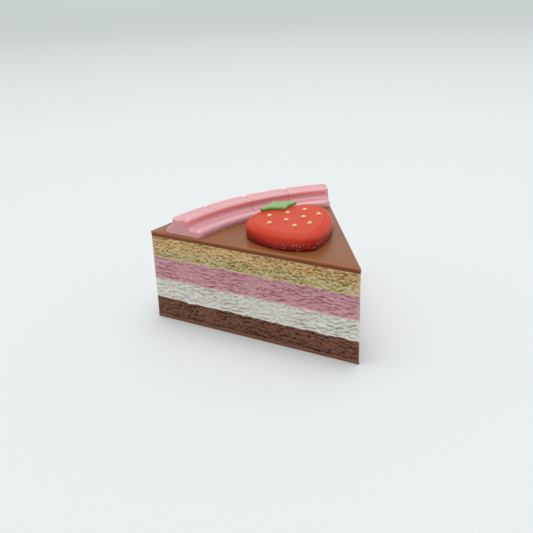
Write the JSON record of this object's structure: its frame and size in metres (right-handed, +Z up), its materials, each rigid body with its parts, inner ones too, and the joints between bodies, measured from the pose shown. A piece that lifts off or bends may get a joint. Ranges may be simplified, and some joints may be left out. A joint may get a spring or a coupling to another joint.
{
  "type": "toy cake slice",
  "caption": "Toy slice of layer cake in coloured plastic: four rough-sided layers, a smooth glazed top, a piped border along the back and a flat strawberry with a leaf.",
  "frame": {"origin": "centre of the bounding box at the underside the slice stands on", "axes": "+Z up, -Y towards the tip of the slice, +Y towards its curved back, +X to the right seen from the tip"},
  "size_m": [0.0568, 0.0588, 0.0303],
  "materials": {
    "brown_crumb": "rough brown plastic with a crumbly skin",
    "white_crumb": "rough white plastic with a crumbly skin",
    "pink_crumb": "rough pink plastic with a crumbly skin",
    "tan_crumb": "rough tan plastic with a crumbly skin",
    "brown_glaze": "satin brown plastic with fine print lines",
    "pink_icing": "satin pink plastic",
    "strawberry_red": "satin red plastic",
    "leaf_green": "satin green plastic"
  },
  "bodies": {
    "root": {"base_layer": "brown_crumb", "cream_layer": "white_crumb", "pink_layer": "pink_crumb", "sponge_layer": "tan_crumb", "glaze_top": "brown_glaze", "piped_border": "pink_icing", "strawberry": "strawberry_red", "leaf": "leaf_green"}
  },
  "joints": []
}
